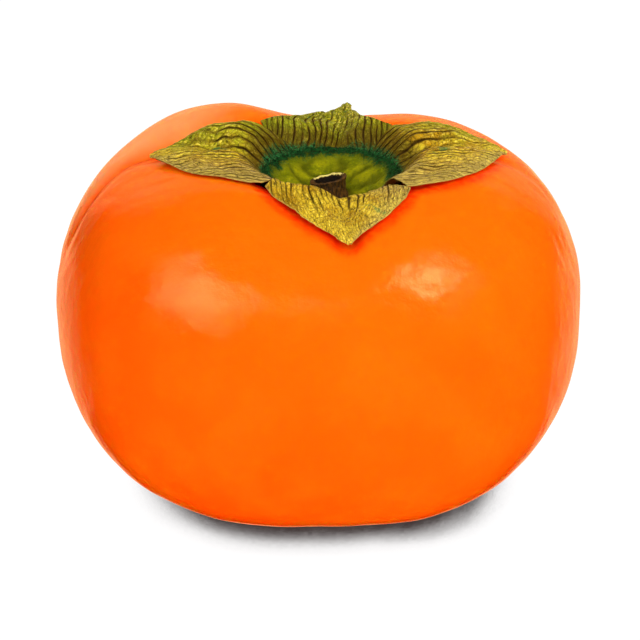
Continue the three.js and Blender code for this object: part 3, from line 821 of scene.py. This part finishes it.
def build_stub():
    """Rings go up the outside, in over the torn rim, down the inside and in over the hollow's floor."""
    angle = full_turn(STUB_COLUMNS)
    circle = np.stack([np.cos(angle), np.sin(angle)], axis=-1)
    tear = 0.05 * ripple(circle, 1.6, 81) + 0.06 * ripple(circle, 0.45, 82)
    ridges = 0.05 * ripple(circle, 0.5, 83) + 0.03 * np.sin(19.0 * angle)
    back_edge = smoothstep(circle[:, 1], 0.0, 0.6)
    inner = STUB_RADIUS - STUB_WALL
    floor_radius, floor_height = inner - STUB_HOLLOW_TAPER, STUB_TOP_HEIGHT - STUB_HOLLOW_DEPTH
    height = STUB_TOP_HEIGHT - STUB_BASE_HEIGHT
    # depth: how strongly painted shade darkens each ring, rising into the hollow
    rings, depth, pith = [], [], []

    def ring(radius, z, torn, dark, pale=0.0):
        x, y = radius * circle[:, 0], radius * circle[:, 1]
        cut = STUB_RISE_RIGHT * x - STUB_FALL_BACK * y
        rings.append(np.stack([STUB_X + x, y, z + torn * (tear + cut)], axis=-1))
        depth.append(np.full(STUB_COLUMNS, dark))
        pith.append(pale * back_edge)

    for t in np.linspace(0.0, 1.0, 22):
        flare = 0.3 * bell(t / 0.3) - 0.14 * math.sin(math.pi * t)
        wrinkle = 0.04 * math.sin(14.0 * t)
        ring(STUB_RADIUS + flare + wrinkle + ridges, STUB_BASE_HEIGHT + t * height, t, 0.0)
    for t in np.linspace(0.1, 1.0, 7):
        z = STUB_TOP_HEIGHT + 0.07 * math.sin(math.pi * t)
        pale = 0.9 * math.sin(math.pi * 0.6 * t)
        ring(STUB_RADIUS - STUB_WALL * t + ridges * (1.0 - t), z, 1.0, 0.2 * t, pale)
    for t in np.linspace(0.1, 1.0, 9):
        radius = inner - STUB_HOLLOW_TAPER * t + 0.5 * ridges * t
        dark, pale = min(1.0, 0.4 + 2.0 * t), max(0.0, 0.8 - 3.0 * t)
        ring(radius, STUB_TOP_HEIGHT - STUB_HOLLOW_DEPTH * t, 1.0 - t, dark, pale)
    for t in np.linspace(0.15, 0.9, 6):
        ring(floor_radius * (1.0 - t), floor_height + 0.1 * np.sin(5.0 * angle + 9.0 * t), 0.0, 1.0)
    base, floor = [[STUB_X, 0.0, STUB_BASE_HEIGHT]], [[STUB_X, 0.0, floor_height]]
    points = np.concatenate([base, np.concatenate(rings), floor])
    fields = dict(depth=with_poles(depth, 0.0, 1.0), pith=with_poles(pith))
    make_object("stem_stub_bark", points, turned_faces(len(rings), STUB_COLUMNS), stub_material(),
                "stem_stub", fields)


# --- Stage (metres; the camera's target, sensor and lens and the side shade in millimetres) ---------
CAMERA_ELEVATION = 26.0
CAMERA_DISTANCE = 0.5
CAMERA_LENS = 183.9
CAMERA_SHIFT = (0.0017, 0.0037)
CAMERA_TARGET_HEIGHT = 25.73
SENSOR_WIDTH = 36.0

FLOOR_REACH = 4.0
FLOOR_SHADE_REACH = 0.3
FLOOR_GLOW = 1.03
# How bright the table's glow is (0 to 1), as a painted shadow, where this share of the room over it is
# open.
PAINTED_FLOOR_SHADOW = ((0.121, 0.035), (0.131, 0.17), (0.155, 0.43), (0.18, 0.74), (0.21, 0.9), (0.26, 0.96),
               (0.34, 1.0))
# The shade reaches further to the sides, left and right: the share taken off for each millimetre
# beyond a distance, up to the limit.
SIDE_SHADE = ((0.0025, 2.0), (0.0067, 8.0))
SIDE_SHADE_LIMIT = 0.1
ROOM_LIGHT = 0.065
WHITE = (1.0, 1.0, 1.0)
PEACH = (1.0, 0.42, 0.19)
LAMP_AIM = (0.0, 0.0, 0.03)

# Lamps: name, direction, distance, size and radiance. The first light the fruit but don't shine in it.
LIGHTING_LAMPS = (
    ("key_left", (-0.53, -0.34, 0.78), 0.9, (0.85, 0.95), 3.45),
    ("key_right", (0.45, -0.15, 0.88), 0.9, (0.36, 0.28), 10.5),
    ("fill_right", (0.8, -0.5, 0.6), 0.9, (0.9, 0.9), 3.5),
    ("table_glow", (0.0, -0.8, -0.5), 0.6, (0.9, 0.6), 4.0),
    ("fill_back", (0.0, 0.97, 0.12), 0.9, (1.2, 0.6), 3.0),
    ("table_glow_back", (0.0, 0.8, -0.55), 0.6, (0.9, 0.5), 2.0),
)
# These only shine in the skin, in nested panels so that each shine fades at its edge.
SHINING_LAMPS = (
    ("window_left", (-0.524, -0.417, 0.749), 0.9, (0.9, 0.7), 1.35, WHITE),
    ("window_left_mid", (-0.5, -0.39, 0.775), 0.87, (0.55, 0.5), 1.8, WHITE),
    ("window_left_core", (-0.473, -0.364, 0.805), 0.85, (0.3, 0.28), 2.1, WHITE),
    ("window_right", (0.5255, -0.187, 0.831), 0.9, (0.6, 0.62), 0.6, WHITE),
    ("window_right_mid", (0.394, -0.204, 0.899), 0.87, (0.36, 0.3), 3.0, WHITE),
    ("window_right_core", (0.36, -0.226, 0.914), 0.85, (0.2, 0.2), 5.0, WHITE),
    ("wall_high", (0.03, 0.984, 0.174), 0.9, (1.2, 0.95), 0.4, PEACH),
    ("wall_high_mid", (0.03, 0.984, 0.174), 0.88, (0.9, 0.7), 0.45, PEACH),
    ("wall_high_core", (-0.15, 0.975, 0.16), 0.86, (0.65, 0.45), 0.4, PEACH),
    ("wall_low", (0.0, 0.906, -0.423), 0.9, (1.9, 0.46), 0.5, PEACH),
    ("wall_low_mid", (0.0, 0.9, -0.42), 0.88, (1.4, 0.42), 0.45, PEACH),
    ("wall_low_core", (0.0, 0.9, -0.42), 0.86, (0.9, 0.38), 0.4, PEACH),
)


def aim(obj, target):
    obj.rotation_euler = (Vector(target) - obj.location).to_track_quat("-Z", "Y").to_euler()


def add_camera():
    data = bpy.data.cameras.new("camera")
    data.lens = CAMERA_LENS
    data.sensor_width = SENSOR_WIDTH
    data.clip_start = 0.01
    data.shift_x, data.shift_y = CAMERA_SHIFT
    camera = bpy.data.objects.new("camera", data)
    bpy.context.scene.collection.objects.link(camera)
    elevation = math.radians(CAMERA_ELEVATION)
    middle = Vector((0.0, 0.0, CAMERA_TARGET_HEIGHT * MM))
    camera.location = middle + Vector((0.0, -math.cos(elevation), math.sin(elevation))) * CAMERA_DISTANCE
    aim(camera, middle)
    bpy.context.scene.camera = camera


def add_softbox(name, direction, distance, size, radiance, colour, lights, shines):
    """A flat lamp aimed at the fruit, which lights it, shines in it or both."""
    data = bpy.data.lights.new(name, "AREA")
    data.shape = "RECTANGLE"
    data.size, data.size_y = size
    data.color = colour
    data.energy = radiance * math.pi * size[0] * size[1]
    light = bpy.data.objects.new(name, data)
    bpy.context.scene.collection.objects.link(light)
    light.location = Vector(direction).normalized() * distance
    light.visible_diffuse, light.visible_glossy = lights, shines
    light.visible_camera = False
    aim(light, LAMP_AIM)


def add_floor():
    """A bright even table: it glows white and only dims, as a painted shadow in its glow, where the fruit
    closes off the room.
    """
    corners = [(x * FLOOR_REACH, y * FLOOR_REACH, 0.0) for x, y in ((-1, -1), (1, -1), (1, 1), (-1, 1))]
    mesh = bpy.data.meshes.new("floor")
    mesh.from_pydata(corners, [], [(0, 1, 2, 3)])
    floor = bpy.data.objects.new("floor", mesh)
    bpy.context.scene.collection.objects.link(floor)
    g = Graph("studio_floor")
    shade = g.node("ShaderNodeAmbientOcclusion", {"Distance": FLOOR_SHADE_REACH}, samples=32)
    openness = shade.outputs["AO"]
    place = g.place()
    x = g.node("ShaderNodeSeparateXYZ", {0: place}).outputs[0]
    for side, (rate, start) in zip((-1.0, 1.0), SIDE_SHADE):
        beyond = g.math("MAXIMUM", g.minus(g.times(x, side), start), 0.0)
        openness = g.minus(openness, g.math("MINIMUM", g.times(beyond, rate), SIDE_SHADE_LIMIT))
    grain = g.noise(place, 0.02, 2.0)
    # painted shadow: the glow follows how open the room is over each point
    ramp = g.node("ShaderNodeValToRGB", {0: openness})
    stops = ramp.color_ramp.elements
    while len(stops) < len(PAINTED_FLOOR_SHADOW):
        stops.new(0.5)
    for stop, (share, tone) in zip(stops, PAINTED_FLOOR_SHADOW):
        stop.position = share
        stop.color = (tone, tone, tone, 1.0)
    glow = g.times(ramp.outputs[0], FLOOR_GLOW)
    colour = g.mix(grain, (0.02, 0.02, 0.02), (0.021, 0.021, 0.021))
    mesh.materials.append(g.finish(Base_Color=colour, Roughness=1.0, Specular_IOR_Level=0.0,
                                   Emission_Color=(1.0, 1.0, 1.0, 1.0), Emission_Strength=glow))
    floor.visible_diffuse = floor.visible_glossy = floor.visible_shadow = False


def add_surround():
    """An even room that lights the fruit from all round; what shines in the skin is only the lamps."""
    world = bpy.data.worlds.new("surround")
    world.use_nodes = True
    background = world.node_tree.nodes["Background"]
    background.inputs["Color"].default_value = (1.0, 1.0, 1.0, 1.0)
    background.inputs["Strength"].default_value = ROOM_LIGHT
    world.cycles_visibility.glossy = False
    bpy.context.scene.world = world


add_camera()
add_floor()
add_surround()
for lamp in LIGHTING_LAMPS:
    add_softbox(*lamp, colour=WHITE, lights=True, shines=False)
for lamp in SHINING_LAMPS:
    add_softbox(*lamp, lights=False, shines=True)
bpy.context.scene.view_settings.view_transform = "Standard"
bpy.context.scene.view_settings.look = "None"

build_fruit()
leaf_material = sepal_material()
for side, sepal in SEPALS.items():
    build_sepal(side, sepal, leaf_material)
build_disc()
build_stub()
